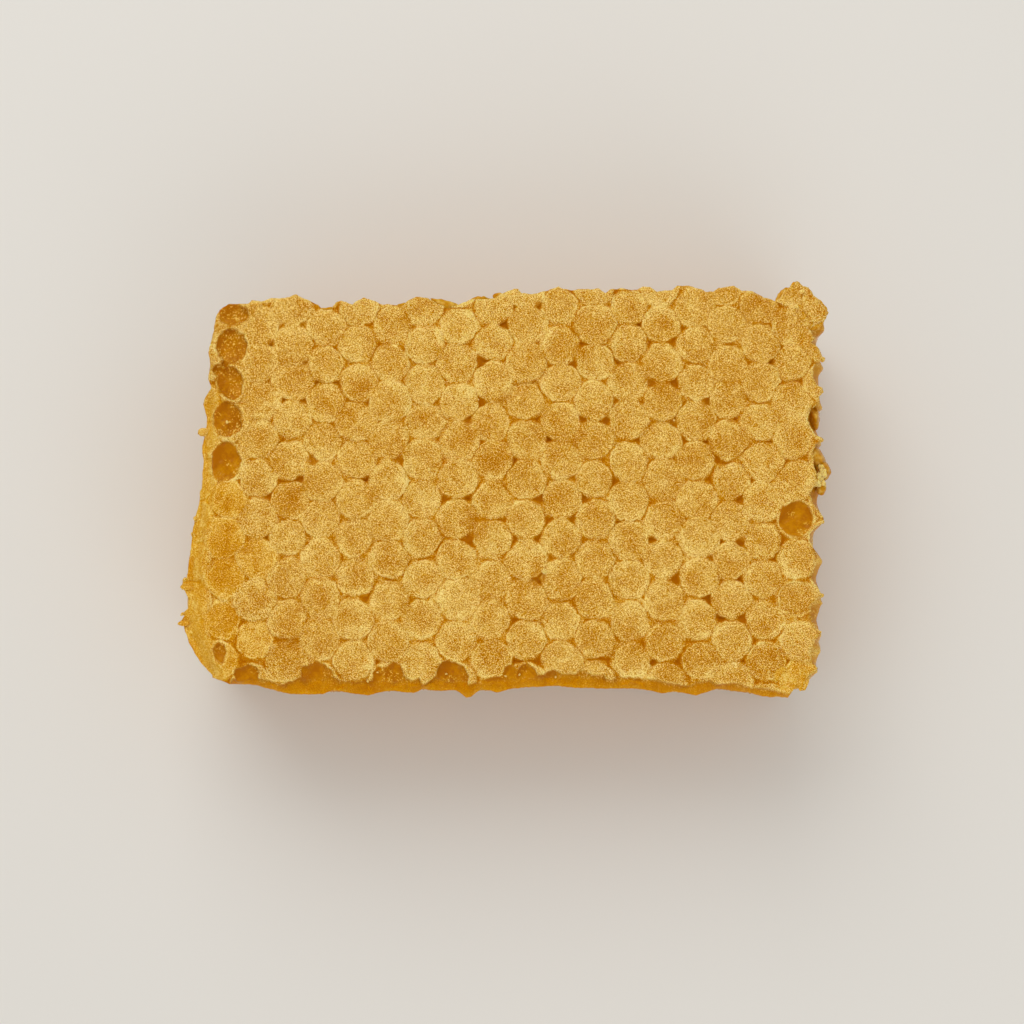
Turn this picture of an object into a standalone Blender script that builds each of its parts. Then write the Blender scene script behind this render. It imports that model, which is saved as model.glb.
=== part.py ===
"""A piece of capped honeycomb: one slab cut from a full comb, lying on its lower face.

A comb is two layers of six-sided cells, back to back on a thin shared wall called the midrib. The
slab shows the domed wax caps of the upper layer, with a groove round each and a few cells that are
uncapped, and its four flanks show the cells that the knife cut through. The lower layer is the same,
with its caps pressed flat by the weight that lies on them.

Metres, +Z up. The origin is at the middle of the footprint, on the surface that the slab lies on.
"""

import math
import random

import bmesh
import bpy
from mathutils import Vector

# The lattice: worker cells in straight columns along Y, each column half a cell from the next
CELL_PITCH = 0.0054
COLUMN_PITCH = CELL_PITCH * math.cos(math.pi / 6)
COLUMNS = range(-12, 12)
ROWS = range(-8, 8)
MIDDLE_CELL = Vector((0.00255, 0.0012))
LATTICE_REACH = 0.040
COLUMN_FAN = 0.0006
COLUMN_CROWDING = 0.0011
ROW_CROWDING = 0.0011
CELL_JITTER = 0.00022
LAYER_SHIFT = CELL_PITCH / math.sqrt(3)

# The slab, between the flat lower caps and the tops of the upper ones
THICKNESS = 0.028
CAP_PLANE = THICKNESS - 0.0006
CAP_DOME = 0.00045
CAP_SHARE = 0.72
CAP_JITTER = 0.00015
GROOVE_DEPTH = 0.0006
OPEN_CELL_DEPTH = 0.0014
OPEN_CELL_SHARE = 0.86
SUNKEN_CAP_DEPTH = 0.0004

OPEN_CELLS = {(-9, row) for row in range(0, 5)} | {(8, -1)}
SUNKEN_CELLS = {(8, -3), (7, -5), (5, -5), (-7, -5), (-9, -5)}

# The plan at the caps: corner points anticlockwise from the near left, and the radius of each
CORNERS = (
    (Vector((-0.0430, -0.0263)), 0.0085),
    (Vector((0.0415, -0.0272)), 0.0030),
    (Vector((0.0430, 0.0282)), 0.0022),
    (Vector((-0.0396, 0.0268)), 0.0030),
)
CORNER_STEPS = 4
CORNER_SPREAD = 0.0006

# The flanks, in the order near, right, far, left: how far the foot stands out beyond the caps, how
# deep the knife's cut cells are, and how far apart they lie
FLANKS = (
    {"spread": 0.0016, "flute": 0.0011, "period": 2 * COLUMN_PITCH, "phase": 0.0},
    {"spread": 0.0004, "flute": 0.0009, "period": CELL_PITCH, "phase": 0.5},
    {"spread": 0.0003, "flute": 0.0007, "period": 2 * COLUMN_PITCH, "phase": 0.0},
    {"spread": 0.0012, "flute": 0.0003, "period": CELL_PITCH, "phase": 0.5},
)
STEPS_PER_FLUTE = 5
MIDRIB_HEIGHT = THICKNESS / 2
MIDRIB_HALF_BAND = 0.0022
KNIFE_OVERRUN = 0.001

WAX_COLOUR = (0.63, 0.33, 0.045, 1.0)
WAX_ROUGHNESS = 0.42
SEED = 7


def clear_scene():
    for item in list(bpy.data.objects):
        bpy.data.objects.remove(item, do_unlink=True)


def cell_centre(column, row):
    """A cell's place in the plane: the lattice, with the slow drift of comb built by hand and eye."""
    across = column * COLUMN_PITCH
    along = (row + 0.5 * (column % 2)) * CELL_PITCH
    u = across / LATTICE_REACH
    v = along / LATTICE_REACH
    return MIDDLE_CELL + Vector((
        across - COLUMN_FAN * u * v - COLUMN_CROWDING * u ** 3,
        along - ROW_CROWDING * v ** 2,
    ))


def neighbours(column, row):
    """The six cells round a cell, anticlockwise from 30 degrees."""
    upper = row + column % 2
    lower = upper - 1
    return (
        (column + 1, upper), (column, row + 1), (column - 1, upper),
        (column - 1, lower), (column, row - 1), (column + 1, lower),
    )


def add_layer(bm, height_of, form_of, shift, rng):
    """One sheet of cells. Cells share their corners, each at the mean of the three cells it joins.

    height_of turns a depth below the caps into a height, and form_of gives a cell's inner ring as
    (share of the cell, depth of the ring, depth of the middle or None for a flat one).
    """
    centres = {}
    for column in COLUMNS:
        for row in ROWS:
            stray = Vector((rng.uniform(-1, 1), rng.uniform(-1, 1))) * CELL_JITTER
            centres[column, row] = cell_centre(column, row) + shift + stray

    corners = {}
    for cell, centre in centres.items():
        around = neighbours(*cell)
        if any(other not in centres for other in around):
            continue
        ring = []
        for k in range(6):
            joined = (cell, around[k], around[(k + 1) % 6])
            key = frozenset(joined)
            if key not in corners:
                place = sum((centres[other] for other in joined), Vector((0, 0))) / 3
                corners[key] = bm.verts.new((*place, height_of(GROOVE_DEPTH)))
            ring.append(corners[key])
        share, ring_depth, middle_depth = form_of(cell)
        inner = []
        for corner in ring:
            place = centre + (corner.co.xy - centre) * share
            inner.append(bm.verts.new((*place, height_of(ring_depth))))
        for k in range(6):
            bm.faces.new((ring[k - 1], ring[k], inner[k], inner[k - 1]))
        if middle_depth is None:
            bm.faces.new(inner)
            continue
        middle = bm.verts.new((*centre, height_of(middle_depth)))
        for k in range(6):
            bm.faces.new((inner[k - 1], inner[k], middle))


def block_of_comb():
    """Comb of the slab's thickness, larger than the slab: two sheets of cells, joined round their rims."""
    rng = random.Random(SEED)

    def upper_form(cell):
        lift = rng.uniform(-1, 1) * CAP_JITTER
        if cell in OPEN_CELLS:
            return OPEN_CELL_SHARE, OPEN_CELL_DEPTH, OPEN_CELL_DEPTH - CAP_JITTER
        if cell in SUNKEN_CELLS:
            return CAP_SHARE, SUNKEN_CAP_DEPTH, SUNKEN_CAP_DEPTH
        return CAP_SHARE, lift, lift - CAP_DOME

    def lower_form(cell):
        return CAP_SHARE, 0.0, None

    bm = bmesh.new()
    add_layer(bm, lambda depth: CAP_PLANE - depth, upper_form, Vector((0, 0)), rng)
    add_layer(bm, lambda depth: depth, lower_form, Vector((LAYER_SHIFT, 0)), rng)
    rims = [edge for edge in bm.edges if edge.is_boundary]
    bmesh.ops.bridge_loops(bm, edges=rims)
    bmesh.ops.recalc_face_normals(bm, faces=bm.faces)
    return bm


def plan_points():
    """The slab's plan at the caps, as (place, outward direction, flank or None at a corner)."""
    points = []
    count = len(CORNERS)
    for k, flank in enumerate(FLANKS):
        start, start_radius = CORNERS[k]
        end, end_radius = CORNERS[(k + 1) % count]
        along = (end - start).normalized()
        outward = Vector((along.y, -along.x))
        length = (end - start).length
        straight = length - start_radius - end_radius
        steps = round(straight / flank["period"] * STEPS_PER_FLUTE)
        for step in range(steps + 1):
            distance = start_radius + straight * step / steps
            points.append((start + along * distance, outward, flank))

        following = (CORNERS[(k + 2) % count][0] - end).normalized()
        turned = Vector((following.y, -following.x))
        middle = end - (outward + turned) * end_radius
        for step in range(1, CORNER_STEPS):
            direction = outward.slerp(turned, step / CORNER_STEPS)
            points.append((middle + direction * end_radius, direction, None))
    return points


def flute_depth(flank, place):
    """How far a cut cell is hollowed at this place along a flank."""
    if flank is None:
        return 0.0
    sideways = flank is FLANKS[1] or flank is FLANKS[3]
    distance = place.y - MIDDLE_CELL.y if sideways else place.x - MIDDLE_CELL.x
    turn = distance / flank["period"] + flank["phase"]
    return flank["flute"] * math.cos(math.pi * turn) ** 2


def knife_block():
    """What the knife keeps: the plan drawn through the comb, wider at the foot, proud at the midrib."""
    levels = (
        (-KNIFE_OVERRUN, 1.0),
        (MIDRIB_HEIGHT - MIDRIB_HALF_BAND, 1.0),
        (MIDRIB_HEIGHT, 0.0),
        (MIDRIB_HEIGHT + MIDRIB_HALF_BAND, 1.0),
        (THICKNESS + KNIFE_OVERRUN, 1.0),
    )
    bm = bmesh.new()
    rings = []
    for height, hollow in levels:
        ring = []
        for place, outward, flank in plan_points():
            spread = flank["spread"] if flank else CORNER_SPREAD
            reach = spread * (1 - height / CAP_PLANE) - hollow * flute_depth(flank, place)
            ring.append(bm.verts.new((*(place + outward * reach), height)))
        rings.append(ring)
    for lower, upper in zip(rings, rings[1:]):
        for k in range(len(lower)):
            bm.faces.new((lower[k - 1], lower[k], upper[k], upper[k - 1]))
    bm.faces.new(reversed(rings[0]))
    bm.faces.new(rings[-1])
    return bm


def add_object(name, bm):
    mesh = bpy.data.meshes.new(name)
    bm.to_mesh(mesh)
    bm.free()
    made = bpy.data.objects.new(name, mesh)
    bpy.context.collection.objects.link(made)
    return made


def wax():
    material = bpy.data.materials.new("wax_and_honey")
    material.use_nodes = True
    shader = material.node_tree.nodes["Principled BSDF"]
    shader.inputs["Base Color"].default_value = WAX_COLOUR
    shader.inputs["Roughness"].default_value = WAX_ROUGHNESS
    shader.inputs["Metallic"].default_value = 0.0
    return material


def make_honeycomb():
    comb = add_object("honeycomb", block_of_comb())
    comb.data.materials.append(wax())
    knife = add_object("knife_block", knife_block())
    knife.hide_render = True
    knife.display_type = "WIRE"
    cut = comb.modifiers.new("cut from the comb", "BOOLEAN")
    cut.operation = "INTERSECT"
    cut.solver = "EXACT"
    cut.object = knife


clear_scene()
make_honeycomb()
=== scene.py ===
# %% [markdown]
# # A slab of capped honeycomb
#
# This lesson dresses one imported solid, the slab, as the real food: comb built by bees, cut out with a
# knife and laid on its lower face. A comb is two layers of wax cells, back to back on a thin wall called
# the midrib, each cell filled with honey and closed with a domed wax cap.
#
# What the eye reads on the real thing is relief: caps, the grooves and pits between them, torn wax and
# pools of honey. So most of this file works out heights with numpy and gives them to plain grids of
# quads, and the same sums leave masks on the vertices that tell the material where wax ends and honey
# begins.

# %% Load the frame
import math
from types import SimpleNamespace

import bmesh
import bpy
import numpy as np
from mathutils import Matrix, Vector


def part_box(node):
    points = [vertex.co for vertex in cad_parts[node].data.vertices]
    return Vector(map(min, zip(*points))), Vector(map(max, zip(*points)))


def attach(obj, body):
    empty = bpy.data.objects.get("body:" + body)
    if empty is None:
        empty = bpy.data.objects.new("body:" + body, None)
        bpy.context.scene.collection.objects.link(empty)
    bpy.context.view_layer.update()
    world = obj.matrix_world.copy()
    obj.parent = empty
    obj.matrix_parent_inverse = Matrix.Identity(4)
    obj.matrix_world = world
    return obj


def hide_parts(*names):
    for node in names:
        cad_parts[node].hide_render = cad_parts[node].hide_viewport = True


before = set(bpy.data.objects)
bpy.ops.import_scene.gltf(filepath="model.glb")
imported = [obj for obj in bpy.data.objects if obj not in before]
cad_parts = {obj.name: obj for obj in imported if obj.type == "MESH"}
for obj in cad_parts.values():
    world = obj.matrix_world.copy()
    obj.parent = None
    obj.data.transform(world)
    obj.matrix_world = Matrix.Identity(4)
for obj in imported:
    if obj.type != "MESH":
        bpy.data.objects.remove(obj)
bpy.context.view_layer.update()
MM = 0.001
slab_low, slab_high = (np.array(corner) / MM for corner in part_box("honeycomb"))
thickness = slab_high[2]
print("slab, mm:", (slab_high - slab_low).round(1))

# %% [markdown]
# ## The lattice of cells
#
# Bees build worker cells about 5.4 mm across, in columns that nest half a cell apart. Real comb is a
# little out of true, so the columns fan and crowd by a millimetre over the slab, and each cell strays a
# little more. A cell's place is worked out by a formula, so the caps, the cut walls and the lower layer
# all agree with each other and with the solid.

# %% Cell centres
CELL = 5.4
COLUMN = CELL * math.cos(math.pi / 6)
REACH = 40.0
MIDDLE_CELL = np.array([2.55, 1.2])
FAN, COLUMN_CROWDING, ROW_CROWDING = 0.6, 1.1, 1.1
FIRST_COLUMN_SHIFT, FIRST_COLUMN_LEAN = 0.35, 0.035
FIRST = -9
INDEX_SHIFT, TABLE = 16, 32
LAYER_SHIFT = CELL / math.sqrt(3)


def lattice(column, row):
    """Where a cell would be with no stray of its own."""
    across = column * COLUMN
    along = (row + 0.5 * (column % 2)) * CELL
    u, v = across / REACH, along / REACH
    outermost = FIRST_COLUMN_SHIFT + FIRST_COLUMN_LEAN * along
    x = MIDDLE_CELL[0] + across - FAN * u * v - COLUMN_CROWDING * u ** 3 + outermost * (column <= FIRST)
    return x, MIDDLE_CELL[1] + along - ROW_CROWDING * v ** 2


class Layer:
    """One layer of cells: their places and whatever differs from cell to cell."""

    def __init__(self, seed, shift):
        rng = np.random.default_rng(seed)
        index = np.arange(TABLE) - INDEX_SHIFT
        self.column, self.row = np.meshgrid(index, index, indexing="ij")
        x, y = lattice(self.column, self.row)
        size = x.shape
        self.x = x + shift + rng.uniform(-0.2, 0.2, size)
        self.y = y + rng.uniform(-0.2, 0.2, size)
        self.shift = shift
        self.radius = rng.uniform(-0.13, 0.17, size)
        self.lift = rng.uniform(-0.15, 0.15, size)
        self.dome = rng.uniform(0.05, 0.36, size)
        self.dish = rng.uniform(0.0, 1.0, size) ** 3 * 0.3
        self.slope_x = rng.normal(0.0, 0.035, size)
        self.slope_y = rng.normal(0.0, 0.035, size)
        self.soak = rng.uniform(0.0, 1.0, size)
        self.fill = rng.uniform(0.0, 1.0, size)

    def nearest(self, x, y):
        """The three nearest cells to each point: distances less each cell's own size, and indices."""
        guess = np.rint((x - MIDDLE_CELL[0] - self.shift) / COLUMN).astype(int)
        found, cells = [], []
        for step in (-2, -1, 0, 1, 2):
            column = guess + step
            level = np.rint((y - MIDDLE_CELL[1]) / CELL - 0.5 * (column % 2)).astype(int)
            for rise in (-1, 0, 1):
                i = np.clip(column + INDEX_SHIFT, 0, TABLE - 1)
                j = np.clip(level + rise + INDEX_SHIFT, 0, TABLE - 1)
                away = np.hypot(x - self.x[i, j], y - self.y[i, j]) - self.radius[i, j]
                found.append(away)
                cells.append(i * TABLE + j)
        found, cells = np.array(found), np.array(cells)
        order = np.argsort(found, axis=0)[:3]
        return np.take_along_axis(found, order, 0), np.take_along_axis(cells, order, 0)


upper = Layer(seed=3, shift=0.0)
lower = Layer(seed=4, shift=LAYER_SHIFT)
print("cells in a layer's table:", upper.x.size)

# %% [markdown]
# ## Noise
#
# Wax is never even. Value noise is the simplest kind: random numbers at the corners of a square grid,
# joined by a smooth curve. The grid's spacing is the size of the lumps. One octave gives dents of one
# size, and a few of them added give a natural roughness.

# %% Value noise
NOISE_SIDE, NOISE_START = 512, 200
SEED_SHIFT_X, SEED_SHIFT_Y = 17.3, 31.7
NOISE_TABLE = np.random.default_rng(11).uniform(-1, 1, (NOISE_SIDE, NOISE_SIDE))
FADING = 0.6


def noise(x, y, lump, seed=0):
    """Smooth noise from -1 to 1 whose lumps measure lump."""
    u, v = x / lump + SEED_SHIFT_X * seed + NOISE_START, y / lump + SEED_SHIFT_Y * seed + NOISE_START
    i, j = np.floor(u).astype(int), np.floor(v).astype(int)
    f, g = u - i, v - j
    f, g = f * f * (3 - 2 * f), g * g * (3 - 2 * g)
    corner = [[NOISE_TABLE[(i + a) % NOISE_SIDE, (j + b) % NOISE_SIDE] for b in (0, 1)] for a in (0, 1)]
    near = corner[0][0] * (1 - g) + corner[0][1] * g
    far = corner[1][0] * (1 - g) + corner[1][1] * g
    return near * (1 - f) + far * f


def rough(x, y, lump, octaves, seed=0):
    """Octaves of noise, each half the size and a bit over half the strength of the one before."""
    total = sum(noise(x, y, lump / 2 ** k, seed + k) * FADING ** k for k in range(octaves))
    return total / sum(FADING ** k for k in range(octaves))


print("noise at the middle:", rough(0.0, 0.0, 2.0, 3).round(2))

# %% [markdown]
# Two more helpers are used everywhere. An eased ramp turns a distance into a mask, and a hash turns the
# cells round a point into a random number, so that a groove or a junction has a character of its own.

# %% Ramps and chances
SCATTER, SCATTER_STEP, SCATTER_SIZE = 12.9898, 65.2, 43758.5453


def ramp(low, high, value):
    """0 at low, 1 at high, with an eased slope between. High may be the smaller."""
    t = np.clip((value - low) / (high - low), 0, 1)
    return t * t * (3 - 2 * t)


def chance(*cells):
    """A random number from 0 to 1 for each set of cells, the same whichever order they come in."""
    cells = np.sort(np.array(cells), axis=0)
    waves = [np.sin(group * (SCATTER + SCATTER_STEP * k)) for k, group in enumerate(cells)]
    mixed = sum(wave * SCATTER_SIZE for wave in waves)
    return mixed - np.floor(mixed)


print("half way up a ramp:", ramp(0, 1, 0.5), "the number of one pair:", chance(1, 2).round(2))

# %% [markdown]
# ## The outline from above
#
# The slab is a rough rectangle, torn on every side. Along the far side the caps end in scallops, on the
# right each cell of the last column ends in a point where its neighbour was pulled away, on the left a
# skin of wax has slumped over the side, and along the near side the knife left a slope of honey under
# the broken caps. Each side is a list of places, its way along and its distance out in mm, with fine
# noise on top.

# %% The four sides
LEFT_SIDE = (
    (-25.6, -40.1), (-23.9, -41.5), (-22.5, -42.5), (-21.0, -43.3), (-19.0, -44.0), (-18.6, -44.1),
    (-18.3, -45.0), (-18.0, -44.6), (-17.3, -44.0), (-16.9, -44.3), (-16.3, -43.5), (-15.0, -43.4),
    (-13.8, -44.0), (-13.3, -44.5), (-12.6, -44.3), (-12.2, -43.8), (-11.0, -43.6), (-8.0, -43.3),
    (-5.5, -43.1), (-3.8, -42.8), (-2.0, -42.2), (-0.2, -42.1), (0.2, -41.8), (4.0, -41.7),
    (6.0, -41.9), (8.0, -41.4), (9.9, -41.3), (11.7, -41.7), (12.4, -41.5), (13.8, -40.5),
    (15.0, -40.9), (17.2, -40.7), (18.7, -40.9), (20.4, -40.6), (21.7, -40.2), (23.5, -40.1),
    (24.7, -39.6))
RIGHT_SIDE = (
    (-25.4, 41.0), (-24.8, 41.9), (-23.5, 41.1), (-22.0, 41.1), (-20.6, 41.6), (-19.9, 42.3),
    (-19.5, 42.4), (-19.0, 41.8), (-18.0, 41.2), (-17.3, 41.1), (-15.9, 41.3), (-15.2, 41.9),
    (-14.6, 42.7), (-14.2, 42.5), (-13.4, 41.9), (-12.4, 41.4), (-11.8, 41.2), (-10.6, 41.7),
    (-9.5, 42.1), (-8.4, 41.7), (-7.2, 41.1), (-6.2, 41.2), (-5.2, 42.0), (-4.8, 42.9), (-4.3, 43.1),
    (-3.4, 42.5), (-2.0, 41.6), (-0.9, 41.1), (0.0, 41.5), (1.0, 42.3), (2.0, 42.0), (3.5, 41.7),
    (5.0, 41.6), (6.1, 42.2), (6.5, 42.9), (6.9, 43.0), (7.3, 42.0), (8.5, 41.4), (9.5, 41.0),
    (11.0, 41.6), (11.7, 42.5), (12.6, 42.6), (13.0, 43.0), (13.8, 43.1), (14.1, 42.4), (15.5, 41.7),
    (17.0, 42.0), (17.4, 42.5), (17.7, 43.3), (18.2, 43.1), (19.5, 42.4), (20.1, 41.6), (20.7, 41.9),
    (21.8, 41.5), (22.1, 41.4), (22.4, 42.2), (23.3, 43.6), (24.2, 43.9), (25.5, 43.0), (26.6, 41.9),
    (27.7, 41.3))
NEAR_SIDE = (
    (-40.1, -25.6), (-38.9, -26.0), (-37.6, -26.6), (-36.5, -26.5), (-34.0, -26.7), (-32.0, -27.3),
    (-30.0, -27.8), (-27.0, -28.0), (-25.0, -27.9), (-23.8, -27.4), (-21.5, -27.7), (-19.0, -28.1),
    (-16.0, -27.4), (-12.8, -27.8), (-11.5, -27.2), (-9.5, -27.5), (-7.0, -27.4), (-6.2, -27.9),
    (-5.6, -28.4), (-5.0, -28.3), (-4.4, -27.8), (-3.5, -27.2), (-1.5, -27.7), (1.0, -27.1),
    (6.2, -26.8), (10.0, -27.1), (18.0, -27.2), (21.0, -27.8), (22.5, -27.5), (25.5, -28.1),
    (28.3, -27.2), (32.0, -27.5), (34.5, -28.2), (38.0, -28.4), (38.4, -27.6), (39.0, -26.8),
    (39.7, -27.5), (40.2, -27.5), (40.6, -26.7), (41.0, -25.4))
FAR_SIDE = (
    (-39.6, 24.7), (-38.3, 25.4), (-35.5, 25.4), (-35.0, 26.0), (-34.0, 25.8), (-32.5, 26.2),
    (-30.5, 26.2), (-29.0, 26.7), (-28.0, 26.2), (-26.9, 25.7), (-26.0, 25.4), (-25.2, 24.6),
    (-24.2, 24.9), (-23.5, 25.7), (-22.8, 25.9), (-21.3, 25.3), (-20.9, 25.7), (-19.7, 26.4),
    (-18.5, 25.8), (-17.5, 25.5), (-15.5, 25.3), (-14.3, 25.4), (-13.6, 26.1), (-12.5, 26.5),
    (-10.8, 26.2), (-9.0, 25.2), (-7.5, 25.2), (-6.4, 25.5), (-5.0, 26.2), (-1.8, 26.3), (-0.8, 26.9),
    (0.0, 27.2), (1.4, 27.6), (1.9, 27.0), (3.0, 26.8), (4.3, 27.0), (6.0, 27.6), (7.0, 27.9),
    (7.6, 27.5), (9.5, 27.4), (12.5, 27.6), (13.4, 27.0), (14.0, 27.4), (15.5, 27.7), (17.8, 27.4),
    (18.6, 27.9), (19.6, 27.8), (20.4, 27.2), (22.5, 27.3), (23.3, 28.0), (25.0, 27.9), (26.5, 27.6),
    (27.2, 27.1), (28.2, 27.1), (29.0, 27.6), (31.1, 28.0), (32.2, 27.3), (33.5, 27.2), (35.2, 26.4),
    (36.6, 25.9), (37.3, 26.2), (38.0, 27.4), (39.0, 27.8), (39.6, 28.5), (40.1, 28.2), (40.5, 27.8),
    (41.3, 27.7))
CAP_LINE = (
    (-40.1, -26.6), (-37.7, -26.8), (-37.0, -25.9), (-36.4, -26.1), (-34.0, -25.7), (-32.5, -26.1),
    (-30.5, -26.5), (-29.0, -26.2), (-28.0, -25.7), (-23.4, -25.6), (-22.5, -26.0), (-21.0, -26.5),
    (-19.2, -26.1), (-18.3, -26.0), (-13.9, -25.8), (-12.8, -26.1), (-12.0, -25.7), (-11.5, -26.8),
    (-10.5, -26.2), (-9.8, -25.6), (-5.6, -26.0), (-5.3, -26.6), (-4.0, -26.4), (-3.2, -25.9),
    (-2.0, -25.6), (4.2, -25.4), (9.2, -25.3), (9.7, -24.7), (11.3, -25.3), (13.0, -25.4),
    (13.3, -25.9), (14.2, -26.1), (15.0, -25.6), (17.6, -25.7), (18.5, -26.0), (20.5, -26.0),
    (21.5, -26.4), (24.0, -26.7), (27.3, -26.1), (28.0, -26.6), (30.5, -26.4), (32.3, -26.9),
    (36.0, -27.4), (41.0, -28.4))


def side(places, at, rag, seed):
    """A side's distance out for each place along it, with ragged noise."""
    along, out = zip(*places)
    ragged = noise(at, 0 * at, 0.9, seed) + 0.7 * noise(at, 0 * at, 0.35, seed + 1)
    return np.interp(at, along, out) + rag * ragged


def left_x(y):
    return side(LEFT_SIDE, y, 0.07, 21)


def right_x(y):
    return side(RIGHT_SIDE, y, 0.10, 23)


def near_y(x):
    return side(NEAR_SIDE, x, 0.06, 25)


def far_y(x):
    return side(FAR_SIDE, x, 0.10, 27)


print("furthest teeth, mm:", [min(out for _, out in LEFT_SIDE), max(out for _, out in RIGHT_SIDE)])

# %% [markdown]
# A grid is stretched between the four sides, which is called a Coons patch: it has no seams and its quads
# stay nearly square. The sides are calmed for it, so that a tooth doesn't send a ripple across the slab,
# and the last few millimetres are then pulled out to the true torn line.

# %% The stretched grid
TOOTH, PULL, CALM_STEPS = 2.7, 2.6, 13


def calm(places, at):
    """A side with its teeth averaged away."""
    shifts = np.linspace(-TOOTH, TOOTH, CALM_STEPS)
    return np.mean([side(places, at + shift, 0, 0) for shift in shifts], axis=0)


def stretched(across, along):
    """Places on a grid between the four sides, as an array [along, across, xy]."""
    counts = ((NEAR_SIDE, across), (FAR_SIDE, across), (LEFT_SIDE, along), (RIGHT_SIDE, along))
    spread = [np.linspace(places[0][0], places[-1][0], count) for places, count in counts]
    near = np.stack([spread[0], calm(NEAR_SIDE, spread[0])], 1)
    far = np.stack([spread[1], calm(FAR_SIDE, spread[1])], 1)
    left = np.stack([calm(LEFT_SIDE, spread[2]), spread[2]], 1)
    right = np.stack([calm(RIGHT_SIDE, spread[3]), spread[3]], 1)
    u = np.linspace(0, 1, across)[None, :, None]
    v = np.linspace(0, 1, along)[:, None, None]
    left += (1 - v[:, 0]) * (near[0] - left[0]) + v[:, 0] * (far[0] - left[-1])
    right += (1 - v[:, 0]) * (near[-1] - right[0]) + v[:, 0] * (far[-1] - right[-1])
    sides = (1 - v) * near[None] + v * far[None] + (1 - u) * left[:, None] + u * right[:, None]
    corners = (1 - v) * ((1 - u) * near[0] + u * near[-1]) + v * ((1 - u) * far[0] + u * far[-1])
    x, y = np.moveaxis(sides - corners, 2, 0)
    for edge, torn in ((slice(0, 1), left_x), (slice(-1, None), right_x)):
        x = x + (torn(y[:, edge]) - x[:, edge]) * ramp(PULL, 0, np.abs(x - x[:, edge]))
    for edge, torn in ((slice(0, 1), near_y), (slice(-1, None), far_y)):
        y = y + (torn(x[edge]) - y[edge]) * ramp(PULL, 0, np.abs(y - y[edge]))
    return np.dstack([x, y])


ACROSS, ALONG = 640, 404
plan = stretched(ACROSS, ALONG)
print("quads across the top:", (ACROSS - 1) * (ALONG - 1))

# %% [markdown]
# ## Where honey shows
#
# Five cells of the first column were opened in handling, two of them torn into one, and so was one cell
# on the right. The knife opened every other cell of the near row. Small holes are left where three caps
# meet. An opening is an ellipse, and a union of openings is the least of their distances, so openings
# that overlap run together as they do in torn comb.

# %% Openings, holes and soaked caps
OPENINGS = (
    (-37.5, 24.0, 2.15, 1.45), (-37.7, 19.6, 2.1, 2.3), (-37.8, 14.5, 1.8, 2.3),
    (-39.5, 16.2, 0.8, 0.8), (-38.6, 17.1, 0.6, 0.5), (-38.2, 9.4, 2.05, 2.45), (-38.4, 3.6, 2.1, 2.6),
    (39.2, -4.2, 2.3, 2.5), (-38.9, -22.4, 0.9, 1.4), (-35.3, -25.5, 1.7, 1.5),
    (-25.8, -26.0, 2.4, 2.2), (-17.2, -25.9, 1.2, 1.6), (-15.5, -25.6, 1.6, 1.9),
    (-7.6, -25.6, 2.2, 2.2), (0.4, -25.5, 1.0, 1.4), (2.6, -25.6, 1.4, 1.7), (6.3, -25.6, 1.2, 0.9))
HOLES = (
    (-4.0, 17.4, 1.0), (-0.2, 21.7, 0.9), (5.0, 24.2, 1.0), (-4.4, 12.8, 0.8), (-4.9, 8.4, 1.0),
    (9.3, 17.0, 0.6), (13.4, 9.4, 0.9), (19.2, 13.8, 0.7), (22.7, 13.7, 0.7), (27.6, 12.1, 1.1),
    (23.0, 9.1, 1.0), (37.2, 16.6, 0.7), (-32.6, 19.4, 0.7), (-27.9, 16.7, 0.6), (-26.5, 14.2, 0.6),
    (-23.4, 14.5, 0.5), (-31.1, 11.4, 0.8), (-28.3, 11.4, 0.6), (-19.1, 11.3, 0.6), (-26.4, 4.5, 0.9),
    (-27.7, 1.1, 0.8), (-19.1, 0.7, 0.6), (-30.5, -1.5, 0.8), (-32.9, -7.1, 0.6), (-19.3, -15.3, 0.7),
    (5.0, -13.3, 1.7), (-5.1, -6.8, 1.0), (32.7, -7.2, 1.1), (23.0, -12.6, 0.9), (27.5, -15.4, 0.8),
    (28.7, -17.8, 0.7), (31.9, -17.9, 0.9), (19.4, -7.5, 0.7), (27.2, -9.9, 0.6), (19.3, -23.3, 0.6),
    (22.6, -23.3, 0.5), (32.9, -1.8, 0.8), (18.5, 22.4, 0.7), (9.2, 8.3, 0.9), (4.3, -1.5, 1.1),
    (-8.5, -1.5, 0.6), (-5.4, -1.5, 0.6), (8.9, -4.0, 0.8), (10.1, -1.3, 0.7), (-13.8, 3.7, 0.7),
    (0.3, 3.8, 0.6), (5.4, 6.6, 0.6), (31.8, -12.6, 0.6), (29.1, -12.6, 0.5), (14.9, 17.0, 0.5))


def marked(chosen):
    """A layer's table with the chosen cells given as (column, row, strength), and 0 for the rest."""
    mark = np.zeros(upper.column.shape)
    for column, row, strength in chosen:
        mark[column + INDEX_SHIFT, row + INDEX_SHIFT] = strength
    return mark


sunken = marked([(8, -3, 1), (7, -5, 0.8), (5, -5, 0.7), (-7, -5, 0.7), (-9, -4, 0.5), (-7, -1, 0.4),
                 (4, 4, 0.5), (5, 1, 0.5), (6, 5, 0.3), (8, 4, 0.2), (4, -4, 0.2)])
wet_cells = marked([(-9, row, 0.45) for row in range(-6, 0)] + [(-8, -2, 0.3), (-8, -4, 0.3)])
print("openings:", len(OPENINGS), "soaked caps:", int((sunken > 0).sum()))

# %% [markdown]
# A hole that is a little off its junction would cut into a cap, so each one is first moved to the
# junction next to it: the spot that is furthest from any cell.

# %% Distance to an opening, and holes in their places
SEARCH, SEARCH_STEPS, STAY = 1.3, 27, 0.15


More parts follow.
